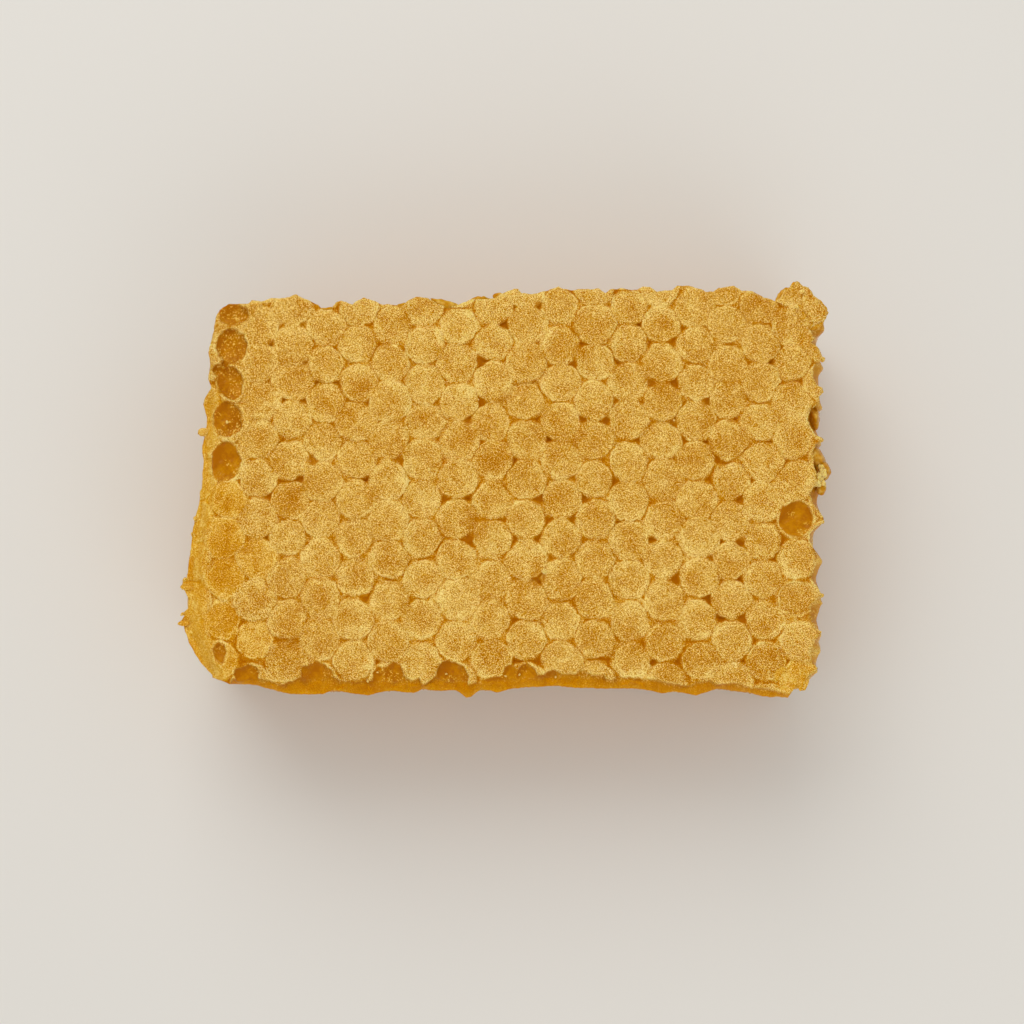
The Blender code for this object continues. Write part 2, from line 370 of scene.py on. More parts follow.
def opening_distance(x, y):
    """Distance in mm out of the nearest opening, less than zero inside one, and the place across it."""
    gaps = np.array([(np.hypot((x - ox) / wide, (y - oy) / deep) - 1) * min(wide, deep)
                     for ox, oy, wide, deep in OPENINGS])
    places = np.array([0.8 * (x - ox) / wide - 0.6 * (y - oy) / deep for ox, oy, wide, deep in OPENINGS])
    nearest = np.argmin(gaps, axis=0)[None]
    return np.take_along_axis(gaps, nearest, 0)[0], np.take_along_axis(places, nearest, 0)[0]


def settled(x, y):
    """The junction of three cells next to a place: of the points round it, the furthest from a cell."""
    steps = np.linspace(-SEARCH, SEARCH, SEARCH_STEPS)
    dx, dy = np.meshgrid(steps, steps)
    away, _ = upper.nearest(x + dx, y + dy)
    best = np.argmax(away[0] - STAY * np.hypot(dx, dy))
    return x + dx.flat[best], y + dy.flat[best]


holes = [(*settled(x, y), size) for x, y, size in HOLES]
print("holes:", len(holes), "the first at:", [round(float(v), 1) for v in holes[0]])

# %% [markdown]
# ## The capped face
#
# Each cap is a shallow dome or dish with a lift and a tilt of its own. Where two caps meet there may be
# a thin groove, or nothing where the bees ran the wax together. All of it comes from three distances: to
# the nearest cell, to the second and to the third. The difference of the first two is zero on the line
# between two cells, and the difference of the first and third is zero at a junction of three.
#
# Each step below is a function of the same points. What more than one step needs travels in a small bag
# of named arrays, called at. Heights are in mm over the plane of the caps.

# %% One cap
CAP_RADIUS, RIM_RADIUS = 2.72, 2.62
RIM_STEEPNESS, RIM_CRISPNESS = 1.05, 10
CAP_PLANE = thickness - 0.5


def picked(table, cells):
    return table.reshape(-1)[cells]


def bell(value, middle, width):
    return np.exp(-((value - middle) / width) ** 2)


def cap_profile(layer, cells, x, y, away):
    """Height of one cell's cap, a low dome, and how far its rim has fallen away."""
    height = picked(layer.lift, cells) + picked(layer.dome, cells) * (1 - (away / CAP_RADIUS) ** 2)
    height -= picked(layer.dish, cells) * bell(away, 0, 1.3)
    height += picked(layer.slope_x, cells) * (x - picked(layer.x, cells))
    height += picked(layer.slope_y, cells) * (y - picked(layer.y, cells))
    return height, RIM_STEEPNESS * np.logaddexp(0, (away - RIM_RADIUS) * RIM_CRISPNESS) / RIM_CRISPNESS

# %% [markdown]
# Three caps are near any point, and the highest wins. The change from cap to groove is eased by a sum of
# exponentials instead of a plain maximum, which would leave a hard crease. The points are bent by noise
# before the cells are looked up, so that no rim is a true hexagon.

# %% Caps side by side
BEND, JITTER = 0.40, 0.12
SHARING, EASING = 4, 30


def laid_caps(x, y):
    """The caps before any hole or tear, and what the later steps ask about them."""
    bent_x = x + BEND * rough(x, y, 2.6, 3, 1) + JITTER * noise(x, y, 0.55, 3)
    bent_y = y + BEND * rough(x, y, 2.6, 3, 5) + JITTER * noise(x, y, 0.55, 7)
    away, cells = upper.nearest(bent_x, bent_y)
    pair, trio = chance(cells[0], cells[1]), chance(cells[0], cells[1], cells[2])
    parts = [cap_profile(upper, cells[k], x, y, away[k]) for k in range(3)]
    share = np.exp(-SHARING * (away - away[0]))
    level = sum(share[k] * parts[k][0] for k in range(3)) / share.sum(0)
    rims = np.array([body - fall for body, fall in parts])
    highest = np.argmax(rims, axis=0)[None]
    closed = ramp(0, -20, x)
    merged = ramp(0.5, 1.0, pair + 0.5 * noise(x, y, 1.9, 9) + 0.12 * closed)
    fill = -0.04 - 0.22 * trio
    fill += (-0.20 + 0.20 * merged - fill) * ramp(0.1, 0.8, away[2] - away[1])
    fill += 0.06 * noise(x, y, 0.9, 11)
    height = np.logaddexp(rims.max(0) * EASING, (level.clip(-0.2, 0.1) + fill) * EASING) / EASING
    return SimpleNamespace(
        x=x, y=y, away=away, cells=cells, trio=trio, closed=closed, merged=merged, height=height,
        edge=away[1] - away[0], corner=away[2] - away[0],
        rim_away=np.take_along_axis(away, highest, 0)[0],
        cavity=ramp(0.02, 0.17, level - height + 0.03 * noise(x, y, 0.6, 17)))


print("height of one cap, mm:", laid_caps(*np.array([[0.0], [1.0]])).height.round(2))

# %% [markdown]
# Where three caps meet the wax is thin. Some junctions are sound, some are pitted, and the marked ones
# are open down to the honey.

# %% Pits and holes
PIT_AWAY, LARGEST_PIT = 3.04, 1.2


def pits(at):
    """How far each point is a pit, a hole with honey in it, or thin wax round one."""
    size = 0.50 * ramp(0.45, 1.0, at.trio) ** 1.5 * (1 - 0.5 * at.closed)
    hole, torn = 0 * at.x, 0.28 * rough(at.x, at.y, 0.9, 2, 26)
    for hx, hy, hole_size in holes:
        gone = np.hypot(at.x - hx, at.y - hy)
        size = np.maximum(size, 1.15 * min(hole_size, LARGEST_PIT) * bell(gone, 0, 1.6))
        hole = np.maximum(hole, ramp(0.75 * hole_size, 0.45 * hole_size, gone + torn))
    pit = ramp(-0.07, 0.12, at.away[0] - PIT_AWAY + 0.36 * size + 0.24 * rough(at.x, at.y, 0.9, 2, 16))
    pit *= ramp(0.05, 0.25, size)
    halo = ramp(1.9, 0.2, at.corner + 0.5 * noise(at.x, at.y, 1.2, 19)) * np.clip(0.2 + size, 0, 1)
    return pit, hole, halo

# %% [markdown]
# Besides heights, the steps make one mask that matters most, the tone. Wax looks pale where it is thick
# and full of air, and deep gold where it is thin and the honey under it shows. One number from dark to
# pale, which the finish later turns into a colour, covers grooves, rims, soaked caps and torn edges. It
# also carries painted shade: the grooves are darker partly for the honey under thin wax and partly as
# painted shade, and one side of each cap is darkened as painted shade.
# Thin lines come from noise too: the places where it is near zero are winding threads.

# %% Marks in the wax
def threads(value, width):
    """Winding lines where a noise crosses zero."""
    return ramp(width, 0.0, np.abs(value))


def marked_wax(at):
    """Height and tone of the lips, seams, threads, flakes and lumps on the caps."""
    x, y, near = at.x, at.y, at.away[0]
    pit, hole, halo = pits(at)
    lumps = rough(x, y, 1.5, 3, 14)
    seam = bell(at.edge, 0, 0.18) * ramp(-0.7, 0.1, noise(x, y, 1.2, 18)) * (1 - 0.5 * at.merged)
    lip = (1.2 * bell(at.rim_away, RIM_RADIUS - 0.10, 0.10) * ramp(-0.3, 0.4, rough(x, y, 1.3, 2, 12))
           + 0.8 * bell(at.rim_away, RIM_RADIUS - 0.55, 0.10) * ramp(0.1, 0.5, noise(x, y, 1.6, 13)))
    worm = ramp(0.14, 0.02, np.abs(rough(x, y, 1.5, 2, 20))) * ramp(-0.1, 0.4, noise(x, y, 2.6, 21))
    flake = threads(rough(x, y, 1.0, 2, 24), 0.10) * ramp(-0.2, 0.4, noise(x, y, 1.9, 25))
    ridge = threads(rough(x, y, 3.4, 2, 23), 0.30) * (1 - 0.5 * ramp(2, 12, x))
    ring = ramp(0.6, 2.4, near + 0.9 * rough(x, y, 2.0, 2, 22)) * (1 - 0.6 * at.merged)
    ring *= 0.3 + chance(at.cells[0], at.cells[0] + 3)
    # Painted shade: one side of each cap is darkened, towards a direction that differs from cap to cap.
    bearing = np.arctan2(y - picked(upper.y, at.cells[0]), x - picked(upper.x, at.cells[0]))
    shady = np.cos(bearing - 6.3 * picked(upper.fill, at.cells[0])) * ramp(0.9, 2.5, near)
    sunk = picked(sunken, at.cells[0]) * ramp(2.75, 2.25, near)
    soak = picked(upper.soak, at.cells[0]) ** 2 * ramp(2.7, 1.2, near)

    at.height += 0.11 * lumps + 0.24 * noise(x, y, 19, 40) + 0.05 * lip - 0.18 * pit - 0.06 * seam
    at.height += 0.03 * (worm + flake) + 0.06 * ridge - 0.10 * hole
    at.height -= sunk * (0.34 + 0.12 * noise(x, y, 1.5, 60))
    at.tone = 0.46 + 0.08 * noise(x, y, 7.0, 90) + 0.20 * rough(x, y, 2.2, 2, 91) + 0.08 * lumps
    at.tone += 0.34 * lip + 0.15 * worm + 0.16 * flake + 0.10 * ridge + 0.10 * ring - 0.07 * shady
    # Painted shade, in part: the grooves are darkened for the honey under thin wax and also for the shade
    # that falls in them.
    at.tone -= 0.26 * at.cavity + 0.36 * seam + 0.10 * halo + 0.10 * pit + 0.18 * hole
    at.tone -= 0.06 * soak + 0.17 * sunk
    at.pit, at.hole = pit, hole

# %% [markdown]
# On the left a skin of wax has slumped over the side, like a curtain in long folds. At the near right
# corner wax is smeared in streaks. Both lie over the caps, so they come after them.

# %% Slumped and smeared wax
CURTAIN_LINE = ((-25, -19, -8, 4, 12, 24), (-40.8, -43.4, -43.2, -41.9, -41.3, -40.2))
CURTAIN_TONE = 0.53
SMEARED_CORNER = (39.4, -26.2)


def slump(at):
    """Hang the curtain and smear the corner: changes to height and tone, and two masks."""
    x, y = at.x, at.y
    inward = x - np.interp(y, *CURTAIN_LINE)
    curtain = ramp(3.5, 1.5, inward + 1.1 * rough(x, y, 2.6, 3, 82)) * ramp(15.5, 10.5, y)
    curtain = np.maximum(curtain, ramp(3.2, 0.8, inward + y - near_y(x)) * ramp(-14, -20, y))
    folds = rough(inward * 2.0, (y + 0.4 * x) * 0.6, 1.5, 3, 80)
    crease = threads(folds, 0.11)
    sag = -2.2 * ramp(3.2, 0.0, inward + 0.4 * rough(x, y, 2.5, 2, 83)) ** 1.7
    at.height += curtain * (sag + 0.16 * folds + 0.07 * crease)
    at.height -= 0.5 * ramp(1.1, 0.0, x - left_x(y)) * (1 - curtain)
    streaks = np.sin(2 * np.pi * ((x - y) / 1.1 + 2.4 * rough(x, y, 3.0, 3, 86))) * noise(x, y, 1.7, 88)
    corner = np.hypot((x - SMEARED_CORNER[0]) * 0.85, y - SMEARED_CORNER[1])
    smeared = ramp(3.6, 2.2, corner + 0.5 * noise(x, y, 1.6, 84))
    at.height += smeared * (0.10 * noise(x, y, 1.1, 85) + 0.08 * streaks - 0.3)
    at.hung_tone = CURTAIN_TONE + 0.12 * folds + 0.38 * crease
    at.smeared_tone = 0.06 + 0.16 * streaks
    at.curtain, at.smeared = curtain, smeared

# %% [markdown]
# An open cell is a shallow pool: the cap is gone, a pale wall stands round it, and honey fills it nearly
# to the rim. Past the line of the last caps, the same opening becomes the slope of honey that the knife
# left along the near side, with stubs of the cut walls in it. Then all the masks are put together.

# %% Openings and the whole face
POOL, SLOPE_TOP, SLOPE_DROP = -0.62, -0.40, 1.0
OPEN_TONE = 0.38


def capped_face(x, y):
    """Heights over the cap plane, and the masks, of the top."""
    at = laid_caps(x, y)
    marked_wax(at)
    slump(at)
    gap, across = opening_distance(x + 0.42 * rough(x, y, 1.3, 3, 51), y + 0.42 * rough(x, y, 1.3, 3, 55))
    cap_line = side(CAP_LINE, x, 0.12, 29)
    below = cap_line - y
    inside = np.minimum(gap, -below)
    opened = ramp(0.10, -0.14, inside)
    bare = 1 - opened
    wall = bell(inside, 0.16, 0.15) * ramp(-0.7, 0.1, noise(x, y, 1.2, 52))
    slope = np.clip(below / np.maximum(cap_line - near_y(x), 0.3), 0, 1)
    level = POOL + 0.22 * ramp(-0.9, 0.0, gap) + 0.20 * rough(x, y, 1.1, 3, 50)
    level = np.minimum(level, SLOPE_TOP) - SLOPE_DROP * slope ** 1.3
    stub = bell(at.edge, 0, 0.55) * ramp(0.15, 0.5, slope) * ramp(-0.5, 0.2, noise(x, y, 1.1, 62))
    level += (0.35 * stub + 0.35 * rough(x, y, 2.0, 3, 63)) * ramp(0.0, 0.4, slope)
    # Near the far and right rims the wax rounds down, and its tone is raised there as a painted
    # highlight.
    rim = ramp(0.45, 0.05, np.minimum(right_x(y) - x, far_y(x) - y))
    height = (at.height + 0.10 * wall * (1 - at.curtain)) * bare + level * opened - 0.30 * rim * bare

    tone = at.tone + 0.22 * wall + 0.16 * rim
    tone += 0.75 * at.curtain * (at.hung_tone - tone) + at.smeared_tone * at.smeared
    soaked = opened * ramp(0.0, 0.45, slope + 0.2 * noise(x, y, 1.5, 64))
    # Painted shade: the honey in an opening is darkened on one side, as if its rim shaded it.
    shade = ramp(-0.1, -0.8, across) * (1 - soaked)
    open_tone = OPEN_TONE - 0.09 * soaked + 0.12 * rough(x, y, 1.4, 3, 65) + 0.12 * bell(slope, 1, 0.25)
    wet = picked(wet_cells, at.cells[0]) * ramp(0, 0.6, at.edge)
    wet = np.maximum(np.maximum(wet, 0.7 * at.curtain), 0.45 * at.smeared) * (1 - 0.6 * wall)
    pooled = np.maximum(0.35 * at.pit, 0.6 * at.hole)
    # The froth specks are froth, but the across term leans them to the side away from the painted shade,
    # a painted lit side.
    bubbly = noise(x, y, 1.4, 95) + 0.7 * ramp(5, 8, y) + 0.5 * across
    masks = {
        "tone": tone * bare + (open_tone - 0.22 * shade) * opened,
        "honey": np.clip(opened * (1 - 0.5 * stub) - 0.75 * soaked + pooled * bare, 0, 1),
        "wet": np.clip(wet + 0.35 * at.cavity + 0.5 * at.pit, 0, 1) * bare + soaked,
        "froth": opened * ramp(-0.2, 0.5, bubbly),
    }
    return height, masks


top_height, top_masks = capped_face(plan[..., 0], plan[..., 1])
top = np.dstack([plan, CAP_PLANE + top_height])
print("top, mm: lowest", top[..., 2].min().round(2), "highest", top[..., 2].max().round(2))

# %% [markdown]
# ## From numbers to a mesh
#
# A grid of places becomes a mesh of quads, and each mask a named attribute on its points. The top is cut
# in three, because one mesh as fine as this would be too heavy. The three share their border points, and
# each is given the normals of the whole, so that no seam shows. A lip turns down and under along the rim,
# so that the wax has a thickness at its torn edge.

# %% Grid meshes with attributes
def add_mesh(name, points, faces, masks, material, normals=None):
    """A smooth-shaded object in metres, from points in mm, with a float attribute for each mask."""
    mesh = bpy.data.meshes.new(name)
    mesh.from_pydata((points * MM).tolist(), [], faces if isinstance(faces, list) else faces.tolist())
    for key, values in masks.items():
        mesh.attributes.new(key, "FLOAT", "POINT").data.foreach_set("value", values.astype(np.float32))
    mesh.shade_smooth()
    if normals is not None:
        mesh.normals_split_custom_set_from_vertices(normals.tolist())
    mesh.update()
    mesh.materials.append(material)
    made = bpy.data.objects.new(name, mesh)
    bpy.context.scene.collection.objects.link(made)
    return made


def add_piece(name, points, faces, masks, material, normals=None):
    """A mesh that is part of the object: it rides on the slab's body and takes one of its finishes."""
    piece = add_mesh(name, points, faces, masks, material, normals)
    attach(piece, "root")
    print(name, "faces:", len(piece.data.polygons))
    return piece


def grid_faces(rows, columns):
    """The quads of a grid, as indices of its points."""
    index = np.arange(rows * columns).reshape(rows, columns)
    return np.stack([index[:-1, :-1], index[:-1, 1:], index[1:, 1:], index[1:, :-1]], -1).reshape(-1, 4)


def rim_index(rows, columns):
    """Indices of a grid's rim, anticlockwise from its first corner."""
    index = np.arange(rows * columns).reshape(rows, columns)
    return np.concatenate([index[0, :-1], index[:-1, -1], index[-1, :0:-1], index[:0:-1, 0]])


def ring_faces(inner, outer):
    """Quads between two closed rings of equal length, given as indices."""
    return np.stack([inner, outer, np.roll(outer, -1), np.roll(inner, -1)], -1)


def point_normals(points, faces):
    """Normals of points, as the sum of the normals of the quads round them."""
    a, b, c, d = (points[faces[:, k]] for k in range(4))
    across = np.cross(c - a, d - b)
    total = np.zeros_like(points)
    for k in range(4):
        np.add.at(total, faces[:, k], across)
    return total / np.maximum(np.linalg.norm(total, axis=1), 1e-9)[:, None]


def part_of(name, keep, points, faces, masks, normals, material):
    """A piece made of the faces that are kept, out of a larger surface."""
    faces = faces[keep]
    used, flat = np.unique(faces, return_inverse=True)
    masks = {key: values[used] for key, values in masks.items()}
    return add_piece(name, points[used], flat.reshape(faces.shape), masks, material, normals[used])

# %% [markdown]
# The lip is built from the rim inwards: three copies of the rim, each a little further in and down, with
# quads between them. Normals come last, for the top and the lip together.

# %% The top with its lip
rim = rim_index(ALONG, ACROSS)
top_points = top.reshape(-1, 3)
rim_places = top_points[rim]
forward = np.roll(rim_places, -3, 0) - np.roll(rim_places, 3, 0)
rim_out = np.stack([forward[:, 1], -forward[:, 0]], 1)
rim_out /= np.hypot(*rim_out.T)[:, None]
LIP_ROWS = ((-0.04, -0.35), (-0.25, -0.8), (-0.9, -1.1))
points, faces, last = [top_points], [grid_faces(ALONG, ACROSS)], rim
for out, down in LIP_ROWS:
    row = rim_places.copy()
    row[:, :2] += rim_out * out
    row[:, 2] += down
    index = sum(len(p) for p in points) + np.arange(len(row))
    points.append(row)
    faces.append(ring_faces(last, index))
    last = index
points, faces = np.vstack(points), np.vstack(faces)
masks = {key: np.concatenate([values.reshape(-1)] + [values.reshape(-1)[rim]] * len(LIP_ROWS))
         for key, values in top_masks.items()}
normals = point_normals(points, faces)
middle_x = points[faces].mean(1)[:, 0]
print("points of the top with its lip:", len(points))

# %% [markdown]
# ## The finish
#
# Comb has two finishes that run into each other. Wax is grainy and soft, because its surface is a felt
# of tiny crystals, and light goes a millimetre or so into it. Honey is clear, so it is dark gold and
# shiny. Wax with a film of honey on it is in between.
#
# A finish is a graph of shader nodes. Drawing the graph in code is easier to read when a socket behaves
# like a number, so a small class wraps a socket and gives it plus, minus and times. Everything else goes
# through one method that makes any node from its type, its settings and its sockets.

# %% Sockets as numbers
class Wire:
    """A node's output that makes Math nodes when it is used in a sum."""

    def __init__(self, graph, socket):
        self.graph, self.socket = graph, socket

    def maths(self, operation, first, second, limited=False):
        settings = {"operation": operation, "use_clamp": limited}
        return self.graph.node("ShaderNodeMath", settings, {0: first, 1: second})

    def __add__(self, other):
        return self.maths("ADD", self, other)

    def __sub__(self, other):
        return self.maths("SUBTRACT", self, other)

    def __rsub__(self, other):
        return self.maths("SUBTRACT", other, self)

    def __mul__(self, other):
        return self.maths("MULTIPLY", self, other)

    def limited(self):
        return self.maths("ADD", self, 0.0, limited=True)

    __radd__ = __add__
    __rmul__ = __mul__

# %% [markdown]
# A finish owns a material and its graph. Its one method for nodes sets the settings first, because some
# of them change which sockets a node has. The others name the few kinds of node that this lesson needs.

# %% A finish and its nodes
class Finish:
    """A material and the means to add nodes to it."""

    def __init__(self, name):
        self.material = bpy.data.materials.new(name)
        self.material.use_nodes = True
        self.tree = self.material.node_tree
        self.tree.nodes.clear()

    def node(self, kind, settings=None, sockets=None, output=0):
        """Make a node: its settings first, then values or links for its sockets."""
        made = self.tree.nodes.new(kind)
        for key, value in (settings or {}).items():
            if key == "stops":
                stops = made.color_ramp.elements
                while len(stops) < len(value):
                    stops.new(0.5)
                for stop, (place, colour) in zip(stops, value):
                    stop.position, stop.color = place, colour
            else:
                setattr(made, key, value)
        for key, value in (sockets or {}).items():
            if isinstance(value, Wire):
                self.tree.links.new(value.socket, made.inputs[key])
            else:
                made.inputs[key].default_value = value
        return Wire(self, made.outputs[output]) if made.outputs else made

    def mask(self, name):
        return self.node("ShaderNodeAttribute", {"attribute_name": name}, output="Fac")

    def grain(self, size, detail=2.0, roughness=0.6):
        """Noise near 0.5 whose grains measure size in mm, in the object's own space.

        Turning the space first keeps the rows that the noise is made in from showing on a flat top.
        """
        place = self.node("ShaderNodeTexCoord", output="Object")
        place = self.node("ShaderNodeVectorRotate", {"rotation_type": "EULER_XYZ"},
                          {"Vector": place, "Rotation": (0.6, 0.4, 0.9)})
        return self.node("ShaderNodeTexNoise", {"noise_dimensions": "3D"},
                         {"Vector": place, "Scale": 1 / (size * MM), "Detail": detail,
                          "Roughness": roughness})

    def blend(self, factor, first, second):
        """One colour where the factor is 0 and another where it is 1."""
        sockets = {0: factor, 6: first, 7: second}
        return self.node("ShaderNodeMix", {"data_type": "RGBA"}, sockets, output=2)

    def shader(self, colour, roughness, normal, gloss, clear=0.0):
        """Something light goes into a little way, with a reflection as gold as the light inside."""
        return self.node("ShaderNodeBsdfPrincipled", {}, {
            "Base Color": colour, "Roughness": roughness, "Normal": normal, "IOR": 1.45,
            "Specular IOR Level": gloss, "Specular Tint": (1.0, 0.72, 0.28, 1.0),
            "Transmission Weight": clear, "Subsurface Weight": 0.25,
            "Subsurface Radius": (1.0, 0.62, 0.15), "Subsurface Scale": 0.001})

# %% [markdown]
# The tone, less or more a fine grain, goes through a colour ramp that runs from brown gold to near
# white: wax gets paler as it gets brighter, so a ramp is truer than making one colour lighter or darker.
# Wet wax has a ramp without the pale end, and honey a darker one with specks of froth in it. A bump of
# the same grain roughens the wax, and one shader mixes into the other by the honey mask.

# %% Wax and honey
def rgb(*levels):
    """A colour from levels of 0 to 255 as a screen shows them, made linear."""
    linear = [(v / 255 / 12.92 if v <= 10 else ((v / 255 + 0.055) / 1.055) ** 2.4) for v in levels]
    return (*linear, 1.0)


WAX_STOPS = ((0.00, rgb(172, 96, 0)), (0.22, rgb(188, 116, 0)), (0.42, rgb(205, 140, 4)),
             (0.56, rgb(217, 160, 26)), (0.74, rgb(233, 186, 76)), (1.00, rgb(252, 225, 142)))
WET_STOPS = ((0.00, rgb(188, 104, 0)), (0.45, rgb(216, 147, 0)), (0.70, rgb(230, 172, 30)),
             (1.00, rgb(248, 214, 110)))
HONEY_STOPS = ((0.20, rgb(176, 102, 0)), (0.45, rgb(196, 125, 0)), (0.70, rgb(210, 146, 10)),
               (1.00, rgb(242, 198, 92)))


CRYSTAL, BUBBLE, PATCH, BLOTCH = 0.10, 0.22, 0.55, 3.5
BUMP_HEIGHT = 0.22 * MM


def comb_finish(name):
    finish = Finish(name)
    fine = finish.grain(CRYSTAL, 0.0)
    coarse = finish.grain(PATCH, 2.0, 0.6)
    blotch = finish.grain(BLOTCH, 2.0, 0.5)
    honey, wet, froth = finish.mask("honey"), finish.mask("wet"), finish.mask("froth")
    grain = (fine - 0.5) * 3.1 + (coarse - 0.5) * 0.10 + (blotch - 0.5) * 0.30
    wax_tone = (finish.mask("tone") + grain * (1 - 0.6 * wet)).limited()
    wax = finish.node("ShaderNodeValToRGB", {"stops": WAX_STOPS}, {0: wax_tone})
    wet_wax = finish.node("ShaderNodeValToRGB", {"stops": WET_STOPS}, {0: wax_tone})
    foam = finish.grain(BUBBLE, 1.0, 0.7)
    specks = ((foam + coarse * 0.5 - 0.79) * 7.0).limited() * froth
    honey_tone = finish.mask("tone") + (coarse - 0.5) * 0.7 + (blotch - 0.5) * 0.5 + 0.7 * specks
    gold = finish.node("ShaderNodeValToRGB", {"stops": HONEY_STOPS}, {0: honey_tone.limited()})
    colour = finish.blend(wet, wax, wet_wax)
    dull = 0.62 - 0.34 * wet
    relief = (fine * 0.4 + coarse * 0.15) * (1 - 0.5 * wet)
    bump = finish.node("ShaderNodeBump", {},
                       {"Strength": 0.55, "Distance": BUMP_HEIGHT, "Height": relief})
    solid = finish.shader(colour, dull, bump, 0.05)
    foamy = specks * 0.6 + coarse * 0.3
    ripple = finish.node("ShaderNodeBump", {},
                         {"Strength": 0.5, "Distance": BUMP_HEIGHT, "Height": foamy})
    liquid = finish.shader(gold, 0.16 + 0.3 * specks, ripple, 0.24)
    mixed = finish.node("ShaderNodeMixShader", {}, {0: honey, 1: solid, 2: liquid})
    finish.node("ShaderNodeOutputMaterial", {}, {"Surface": mixed})
    return finish.material


comb = comb_finish("comb_wax")
print("nodes in the wax finish:", len(comb.node_tree.nodes))

# %% [markdown]
# With the finish made, the top is cut in three along two lines from near to far, and the imported
# solid is hidden.

# %% The three parts of the top
CUTS = (("cappings_left", -99, -13.5), ("cappings_middle", -13.5, 14.5), ("cappings_right", 14.5, 99))
for name, low, high in CUTS:
    kept = (middle_x >= low) & (middle_x < high)
    piece = part_of(name, kept, points, faces, masks, normals, comb)
    if name == "cappings_left":
        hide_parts("honeycomb")

# %% [markdown]
# ## The sides
#
# On a cut side the cells are seen lengthwise: thin pale walls that run from the caps down to the midrib,
# a zigzag rib of wax at half height, a second layer below it, and honey between the walls. The walls lean
# a little, because bees tilt their cells so that the honey stays in.
#
# One sheet goes round the slab. Its top row hangs from the rim of the caps, and a few millimetres lower
# it follows a smoothed outline. At every point of it, the same distances as on the top say whether the
# knife met a wall or a cell, in the upper layer or in the lower one.

# %% Relief of a cut side
LEAN, RIB_SWING, WALL_BEND = 0.12, 1.1, 0.40


def cut_side(x, y, z, left_ness, near_ness):
    """How far the side stands out of its outline, and its masks."""
    along = x + y
    bent_u, bent_l = (x + WALL_BEND * rough(along, z, 5.0, 3, seed) for seed in (101, 102))
    away_u, cells_u = upper.nearest(bent_u + LEAN * (thickness - z), y)
    away_l, cells_l = lower.nearest(bent_l + LEAN * z, y)
    rib = thickness / 2 + RIB_SWING * (away_u[0] - away_l[0]) / CAP_RADIUS
    in_upper = z > rib
    edge = np.where(in_upper, away_u[1] - away_u[0], away_l[1] - away_l[0]) / 2
    cell = np.where(in_upper, cells_u[0], cells_l[0] + 5000)
    full = chance(cell, cell + 7)
    ragged = rough(along, z, 1.6, 3, 103)
    wall = bell(edge, 0, 0.20 + 0.08 * ragged)
    ridge = bell(z - rib, 0, 0.34)
    cap_zone = np.maximum(ramp(thickness - 2.6, thickness - 1.7, z + 0.6 * ragged),
                          ramp(1.7, 0.9, z + 0.5 * ragged))
    wax = np.clip(np.maximum(np.maximum(wall * ramp(-0.75, -0.2, ragged), ridge), cap_zone), 0, 1)
    hollow = (0.40 + 1.1 * full ** 2) * ramp(0.1, 1.5, edge) * ramp(0.2, 1.5, np.abs(z - rib))
    out = -hollow * (1 - cap_zone) + (0.22 + 0.25 * ragged) * wax + 0.18 * rough(along, z, 4.0, 3, 104)

    smear = left_ness * ramp(-0.5, 0.3, rough(y, z, 5.0, 3, 105) + (z - 9) / 10)
    folds = rough(y * 0.45, z * 1.3 + 0.2 * y, 2.2, 4, 106)
    crease = ramp(0.14, 0.02, np.abs(folds))
    skin = 0.35 * folds + 0.10 * crease + 0.35 * rough(y, z, 4.0, 4, 107) + 0.15
    out = out * (1 - smear) + skin * smear
    film = np.clip(0.9 * near_ness + 0.35 * ramp(10, 2, z) + 0.3 * noise(along, z, 6.0, 108), 0, 1)
    honey = (1 - wax) * (1 - smear) * 0.95 + 0.55 * film * wax * (1 - smear)
    masks = {
        "tone": 0.56 + 0.12 * ragged + 0.08 * wax - 0.15 * film + (0.10 * folds + 0.16 * crease) * smear,
        "honey": np.clip(honey, 0, 1),
        "wet": np.clip(0.85 * smear + 0.8 * film + 0.25, 0, 1),
        "froth": 0.5 * ramp(0.1, 0.5, noise(along, z, 3.0, 109)),
    }
    return out * ramp(0.2, 1.4, z), masks

# %% [markdown]
# The sheet needs a calm outline to hang on, or every tooth of the rim would run down the side as a
# flute. A weighted average over a few millimetres of rim gives one.

# %% A smoothed outline
SMOOTHING = 3.5
hung = rim_places[::2]
hung_out = rim_out[::2]
step = np.hypot(*(np.roll(hung[:, :2], -1, 0) - hung[:, :2]).T)
reach = int(SMOOTHING / step.mean())
weights = bell(np.arange(-3 * reach, 3 * reach + 1), 0, reach)
weights /= weights.sum()


def smoothed(ring):
    """A closed ring of values averaged over its neighbours."""
    padded = np.concatenate([ring[-3 * reach:], ring, ring[:3 * reach]])
    return np.stack([np.convolve(padded[:, k], weights, "valid") for k in range(ring.shape[1])], 1)


ring = smoothed(hung[:, :2])
ring_way = np.roll(ring, -2, 0) - np.roll(ring, 2, 0)
ring_out = np.stack([ring_way[:, 1], -ring_way[:, 0]], 1)
ring_out /= np.hypot(*ring_out.T)[:, None]
print("outline, mm round:", step.sum().round(), "points:", len(ring))

# %% [markdown]
# The four sides differ. The left one has the smear of wax, the right one bulges out to its torn points,
# and the near one slopes in under the honey. At the foot all of them turn in a little, so that the slab
# sits in its own shade.

